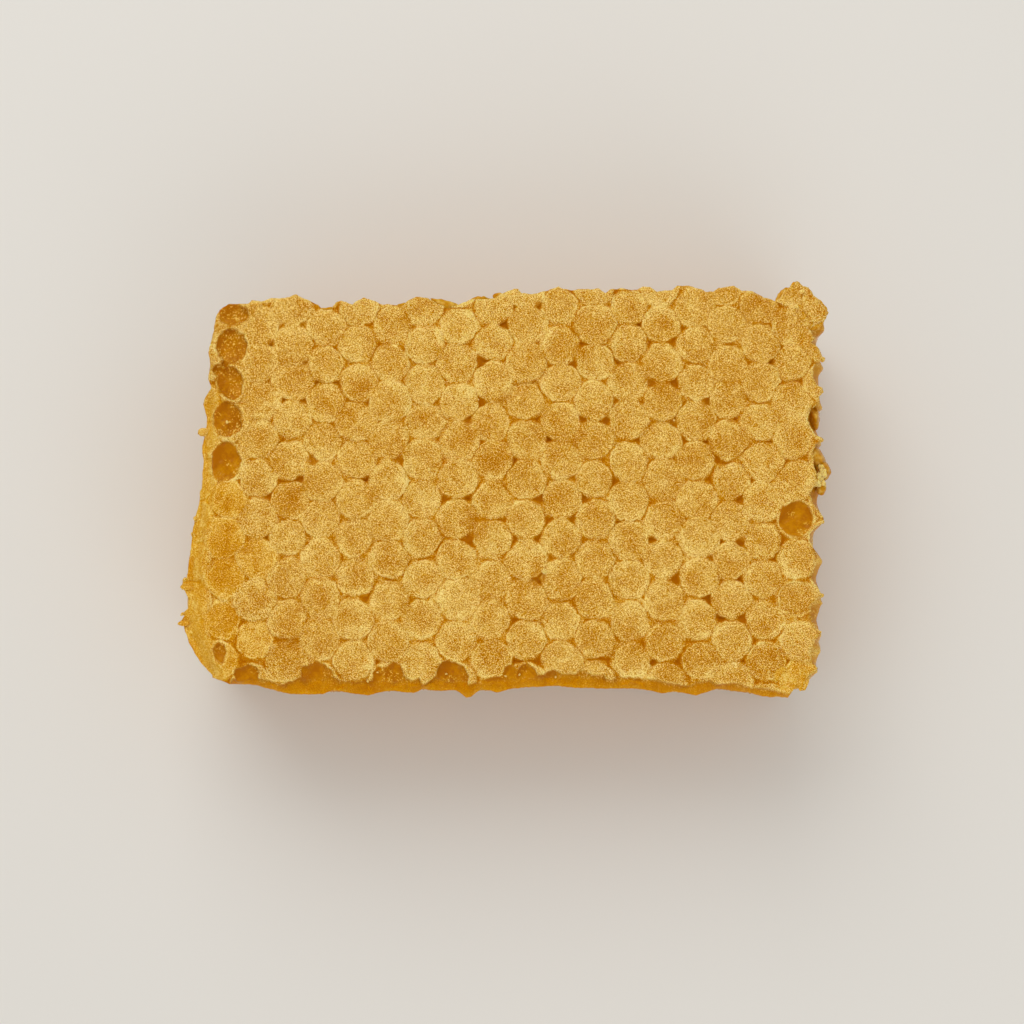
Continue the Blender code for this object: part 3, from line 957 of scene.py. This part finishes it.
# %% The sheet round the slab
SIDE_ROWS, ROW_CROWD = 88, 0.96
FOOT_LEVEL = 0.12
drop = np.linspace(0, 1, SIDE_ROWS)[:, None] ** ROW_CROWD
top_level = hung[:, 2] - 0.6
side_z = top_level + (FOOT_LEVEL - top_level) * drop
side_x, side_y = ring[:, 0] + 0 * side_z, ring[:, 1] + 0 * side_z
left_ness = ramp(0.35, 0.8, -ring_out[:, 0]) * ramp(16, 8, ring[:, 1]) + 0 * side_z
near_ness = ramp(0.5, 0.9, -ring_out[:, 1]) + 0 * side_z
right_ness = ramp(0.3, 0.9, ring_out[:, 0]) + 0 * side_z
side_out, side_masks = cut_side(side_x, side_y, side_z, left_ness, near_ness)
below_rim = ramp(0.0, 3.0, top_level - side_z)
foot = ramp(1.6, 0.0, side_z)
undercut = (top_level - side_z) / thickness
side_out = side_out - 0.15 - 0.9 * foot ** 2 + 1.35 * right_ness - (0.2 + 0.9 * undercut) * near_ness
tucked = hung[:, :2] - hung_out * 0.30
spread = [ring[:, k] + ring_out[:, k] * side_out for k in (0, 1)]
places = [tucked[:, k] * (1 - below_rim) + spread[k] * below_rim for k in (0, 1)]
side_grid = np.dstack([*places, side_z])
side_count = len(hung)
loop = np.arange(side_count)
side_faces = np.concatenate([ring_faces(row * side_count + loop, (row + 1) * side_count + loop)
                             for row in range(SIDE_ROWS - 1)])
side_points = side_grid.reshape(-1, 3)
side_flat = {key: np.broadcast_to(values, side_z.shape).reshape(-1) for key, values in side_masks.items()}
add_piece("cut_sides", side_points, side_faces, side_flat, comb)

# %% [markdown]
# ## The lower caps
#
# The slab lies on its second layer of caps, which are pressed flat by its weight and wet with honey.
# They are the same sums on the lower lattice, turned over, with everything under the table cut off.

# %% The underside
UNDER_ACROSS, UNDER_ALONG = 264, 170
PRESSED, DEEPEST = 0.16, -0.55
UNDER_SHARE = np.array([0.972, 0.958])


def lower_face(x, y):
    """Heights over the table and masks of the underside."""
    away, cells = lower.nearest(x + 0.2 * rough(x, y, 2.4, 3, 121), y + 0.2 * rough(x, y, 2.4, 3, 125))
    parts = [cap_profile(lower, cells[k], x, y, away[k]) for k in range(2)]
    rims = np.max([body - fall for body, fall in parts], axis=0)
    lumps = rough(x, y, 1.6, 3, 127)
    height = np.maximum(rims, DEEPEST) + 0.08 * lumps
    raised = np.maximum(PRESSED - height, 0) + 0.015 * (1 + lumps)
    # The hollows between the pressed caps are darkened in tone, painted shade as in the grooves on top,
    # besides the honey in the deepest of them.
    cavity = ramp(0.15, 0.5, raised)
    masks = {
        "tone": 0.50 - 0.25 * cavity + 0.12 * lumps + 0.06 * noise(x, y, 8.0, 128),
        "honey": 0.55 * ramp(0.35, 0.6, raised),
        "wet": np.clip(0.45 + 0.4 * noise(x, y, 9.0, 129), 0, 1),
        "froth": 0 * x,
    }
    return raised, masks


under_plan = stretched(UNDER_ACROSS, UNDER_ALONG)
centre = under_plan.mean((0, 1))
under_plan = centre + (under_plan - centre) * UNDER_SHARE
under_z, under_masks = lower_face(under_plan[..., 0], under_plan[..., 1])
u = np.minimum(np.arange(UNDER_ACROSS), np.arange(UNDER_ACROSS)[::-1])[None, :]
v = np.minimum(np.arange(UNDER_ALONG), np.arange(UNDER_ALONG)[::-1])[:, None]
under_z = under_z + 0.9 * ramp(5, 0, np.minimum(u, v)) ** 2
under_points = np.dstack([under_plan, under_z]).reshape(-1, 3)
add_piece("underside_caps", under_points, grid_faces(UNDER_ALONG, UNDER_ACROSS)[:, ::-1],
          {key: values.reshape(-1) for key, values in under_masks.items()}, comb)

# %% [markdown]
# ## Torn bits, beads and bubbles
#
# Handling leaves small things along the torn sides: crumbs and flakes of wax, beads of honey that hang
# from the side, a froth of tiny bubbles. Each is a ball of triangles, stretched, turned and made lumpy by
# noise, and pushed far enough into the comb to hold on. A bubble that has burst leaves a hoop.

# %% Lumps and hoops
def unit_ball(levels):
    """Points and triangles of a ball of radius 1."""
    ball = bmesh.new()
    bmesh.ops.create_icosphere(ball, subdivisions=levels, radius=1.0)
    ball.verts.index_update()
    shape = (np.array([point.co for point in ball.verts]),
             np.array([[point.index for point in face.verts] for face in ball.faces]))
    ball.free()
    return shape


SMALL_BALL, LARGE_BALL, LARGE = unit_ball(3), unit_ball(4), 0.7
print("points of a small and a large ball:", len(SMALL_BALL[0]), len(LARGE_BALL[0]))


def lump(centre, radii, turn=0.0, rag=0.25):
    """A lumpy ball, stretched and then turned about the upright by an angle in degrees."""
    points, faces = LARGE_BALL if max(radii) > LARGE else SMALL_BALL
    x, y, z = points.T
    seed = int(abs(centre[0] * 7 + centre[1] * 13)) % 97
    swell = 1 + rag * (noise(x + z, y - z, 0.9, seed) + 0.5 * noise(x - z, y + z, 0.4, seed + 1))
    x, y, z = (points * swell[:, None] * radii).T
    angle = math.radians(turn)
    turned = [x * math.cos(angle) - y * math.sin(angle), x * math.sin(angle) + y * math.cos(angle), z]
    return np.stack(turned, 1) + centre, faces


def hoop(centre, radius, tube, tilt=0.0):
    """A thin uneven ring, tilted about the line from left to right by an angle in degrees."""
    count, sides = 40, 10
    way, turn = np.meshgrid(np.linspace(0, 2 * np.pi, count, endpoint=False),
                            np.linspace(0, 2 * np.pi, sides, endpoint=False), indexing="ij")
    out = radius * (1 + 0.15 * noise(np.cos(way), np.sin(way), 0.7, 5)) + tube * np.cos(turn)
    x, y, z = out * np.cos(way), out * np.sin(way), tube * np.sin(turn)
    angle = math.radians(tilt)
    y, z = y * math.cos(angle) - z * math.sin(angle), y * math.sin(angle) + z * math.cos(angle)
    index = np.arange(count * sides).reshape(count, sides)
    corners = [index, np.roll(index, -1, 0), np.roll(index, (-1, -1), (0, 1)), np.roll(index, -1, 1)]
    return np.stack([x, y, z], -1).reshape(-1, 3) + centre, np.stack(corners, -1).reshape(-1, 4)


def surface(x, y):
    """The height of the top at one place."""
    height, _ = capped_face(np.array([x]), np.array([y]))
    return CAP_PLANE + height[0]


def on_top(x, y, size, sink=0.3):
    return lump((x, y, surface(x, y) + size * (1 - sink)), (size, size * 0.8, size * 0.7), turn=40 * x)


def gathered(name, parts, slot, material, **levels):
    """One piece made of many small parts, each mask at one level all over."""
    points, faces, count = [], [], 0
    for part_points, part_faces in parts:
        points.append(part_points)
        faces += (part_faces + count).tolist()
        count += len(part_points)
    masks = {key: np.full(count, level) for key, level in levels.items()}
    add_piece(name, np.vstack(points), faces, masks, material)

# %% [markdown]
# A curled flap stands at the far right corner and a few flakes on the near edge. The froth is white wax
# and bubbles where a drip left the right side. The nubs, and the small hoop on the caps, are near-white
# specks of it set where glints show, so they are partly crumbs of froth and partly painted glints.

# %% Flakes, crumbs and froth
FLAKE_LEVEL = 27.0
FLAKES = (((41.2, 24.3, FLAKE_LEVEL), (2.5, 2.2, 0.45), 20, 0.14),
          ((39.8, 26.7, FLAKE_LEVEL), (1.2, 1.8, 0.45), 10, 0.2),
          ((39.7, -26.1, FLAKE_LEVEL), (0.55, 1.35, 0.32), -12, 0.15),
          ((36.4, -25.4, FLAKE_LEVEL), (1.5, 0.8, 0.3), 35, 0.2),
          ((-44.1, -18.3, 25.4), (0.8, 0.35, 0.35), 5), ((-43.8, -13.4, 25.2), (0.8, 0.4, 0.35), -8))
CRUMBS = (
    (-44.3, -17.0, 25.3, 0.3), (-44.1, -12.3, 25.0, 0.32), (-41.7, 7.9, 25.8, 0.7),
    (-42.6, -4.0, 25.0, 0.4), (-42.9, -6.2, 24.8, 0.45), (-43.0, -8.5, 24.6, 0.45),
    (42.6, -14.6, 26.6, 0.34), (42.3, -19.6, 26.6, 0.3), (42.9, -4.5, 26.5, 0.3),
    (43.2, 17.8, 26.6, 0.36), (42.9, 6.7, 26.6, 0.3), (42.9, 13.4, 26.6, 0.36), (39.7, 28.2, 27.1, 0.42))
NUBS = (
    (40.3, 27.0, 0.36), (39.5, 25.0, 0.34), (-38.3, 9.1, 0.24), (5.0, -11.4, 0.30), (4.6, -0.6, 0.22),
    (-10.7, 2.5, 0.24), (6.5, -25.6, 0.16), (1.6, -25.3, 0.16), (-0.3, -25.5, 0.14),
    (-18.9, -26.2, 0.18), (13.0, 9.9, 0.2), (-17.6, -25.0, 0.14), (-8.3, -25.2, 0.16), (22.7, 9.4, 0.18),
    (27.3, 12.6, 0.2), (27.8, 17.6, 0.15), (28.3, 14.6, 0.16), (37.0, 17.0, 0.13), (-4.3, 17.0, 0.16),
    (18.9, 14.4, 0.14), (9.6, 16.6, 0.14), (-4.0, 12.2, 0.13), (32.4, -6.6, 0.14), (28.3, -16.9, 0.15),
    (13.6, -1.4, 0.16), (0.6, 21.2, 0.14), (-22.9, -12.8, 0.14), (37.6, -0.3, 0.14), (14.2, -4.0, 0.15))
FROTH_COUNT, FROTH_PLACE = 16, (42.7, 1.5, 26.6)
flakes = [lump(*flake) for flake in FLAKES]
crumbs = [lump((x, y, z), (size, size * 0.8, size * 0.7), 60 * x) for x, y, z, size in CRUMBS]
rng = np.random.default_rng(21)
strays = [rng.normal(0, spread, FROTH_COUNT) for spread in (0.26, 0.65, 0.15)]
sizes = rng.uniform(0.2, 0.42, FROTH_COUNT)
froth = [lump(np.add(FROTH_PLACE, stray), (size, size * 1.3, size * 0.6), 60 * stray[0], 0.8)
         for *stray, size in zip(*strays, sizes)]
# Painted glints in part: the nubs and the first hoop are near-white wax set where glints show.
nubs = [on_top(*nub) for nub in NUBS]
hoops = [hoop((5.0, -11.3, surface(5.0, -11.3) + 0.15), 0.26, 0.10, 20),
         hoop((42.9, 0.3, 26.0), 0.42, 0.14, 25)]
gathered("wax_flakes", flakes, "wax", comb, tone=0.52, honey=0.0, wet=0.55, froth=0.0)
gathered("wax_crumbs", crumbs, "wax", comb, tone=0.66, honey=0.0, wet=0.3, froth=0.0)
gathered("froth", froth + nubs + hoops, "wax", comb, tone=1.0, honey=0.0, wet=0.3, froth=0.0)

# %% [markdown]
# Beads of honey are clearer than the honey in the cells, so they get a finish of their own: the same gold
# with a cloud in it, glossier, and letting some light straight through.

# %% Honey that hangs from the torn sides
def honey_finish(name):
    finish = Finish(name)
    cloud = finish.grain(0.9, 2.0, 0.6)
    gold = finish.node("ShaderNodeValToRGB", {"stops": HONEY_STOPS}, {0: (0.72 + (cloud - 0.5) * 1.0)})
    ripple = finish.node("ShaderNodeBump", {}, {"Strength": 0.3, "Distance": 0.2 * MM, "Height": cloud})
    liquid = finish.shader(gold, 0.1 + 0.1 * cloud, ripple, 0.4, clear=0.15)
    finish.node("ShaderNodeOutputMaterial", {}, {"Surface": liquid})
    return finish.material


BEADS = (((42.2, 4.6, 24.2), (1.3, 2.2, 2.8), 25, 0.16), ((43.2, 2.6, 24.8), (1.1, 1.5, 1.8), 20, 0.2),
         ((42.2, 10.2, 24.0), (0.9, 1.9, 2.2)), ((42.3, 18.6, 25.8), (0.6, 0.8, 0.8)),
         ((38.2, 26.4, 26.5), (1.4, 1.2, 0.4), 30), ((-25.0, 24.5, 26.6), (1.5, 0.5, 0.2), 10, 0.7),
         ((-8.4, 25.3, 26.6), (1.7, 0.6, 0.2), -15, 0.7), ((-14.0, 25.1, 26.7), (1.1, 0.5, 0.2), 0, 0.7),
         ((-22.7, 24.8, 26.7), (0.8, 0.4, 0.2), 0, 0.7), ((-3.2, 26.1, 26.6), (1.3, 0.6, 0.2), 5, 0.7),
         ((-5.4, -27.7, 25.2), (0.5, 0.5, 1.1)), ((-1.4, 26.7, 26.4), (0.7, 0.45, 0.3), 20),
         ((42.9, 0.2, 25.6), (0.6, 1.0, 0.8), -10, 0.2))
beads = [lump(*bead) for bead in BEADS]
gathered("honey_beads", beads, "honey", honey_finish("clear_honey"))

# %% [markdown]
# ## Floor, light and camera
#
# The comb stands on a plain pale floor. One broad soft light above the far side gives the caps their
# modelling, a weaker one reaches the near side, and an even sky fills the rest.

# %% Floor
def flat_finish(name, colour, roughness):
    finish = Finish(name)
    shader = finish.node("ShaderNodeBsdfPrincipled", {}, {"Base Color": colour, "Roughness": roughness})
    finish.node("ShaderNodeOutputMaterial", {}, {"Surface": shader})
    return finish.material


FLOOR_HALF, FLOOR_DROP = 2000.0, -0.2
floor_points = np.array([(a * FLOOR_HALF, b * FLOOR_HALF, FLOOR_DROP)
                         for a, b in ((-1, -1), (1, -1), (1, 1), (-1, 1))])
floor = add_mesh("floor", floor_points, np.array([[0, 1, 2, 3]]), {},
                 flat_finish("pale_floor", rgb(226, 222, 214), 0.7))

# %% [markdown]
# The camera looks almost straight down, from a little to the near side, through a long lens that keeps
# the sides from spreading. Colours are shown as they are, without a film curve.

# %% Light and camera
def aimed(data, place, target):
    """An object at a place, turned to look at a target, both in metres."""
    thing = bpy.data.objects.new(data.name, data)
    thing.location = place
    thing.rotation_mode = "QUATERNION"
    thing.rotation_quaternion = (target - thing.location).to_track_quat("-Z", "Y")
    bpy.context.scene.collection.objects.link(thing)
    return thing


SKY_STRENGTH = 0.62
TARGET = Vector((0.0006, -0.0033, 0.028))
LIGHTS = (("key", 1.8, 0.5, (-0.15, 0.42, 0.50)), ("fill", 0.7, 0.5, (0.15, -0.45, 0.30)))
CAMERA_RISE, CAMERA_AWAY = math.radians(84.5), 0.328
world = bpy.data.worlds.new("sky")
world.use_nodes = True
world.node_tree.nodes["Background"].inputs["Color"].default_value = (1, 1, 1, 1)
world.node_tree.nodes["Background"].inputs["Strength"].default_value = SKY_STRENGTH
bpy.context.scene.world = world
for title, energy, size, place in LIGHTS:
    light = bpy.data.lights.new(title, "AREA")
    light.energy, light.size = energy, size
    aimed(light, Vector(place), TARGET)
camera = bpy.data.cameras.new("camera")
camera.lens = 85
away = Vector((0, -math.cos(CAMERA_RISE), math.sin(CAMERA_RISE))) * CAMERA_AWAY
bpy.context.scene.camera = aimed(camera, TARGET + away, TARGET)
bpy.context.scene.view_settings.view_transform = "Standard"
print("camera at, m:", [round(v, 3) for v in bpy.context.scene.camera.location])
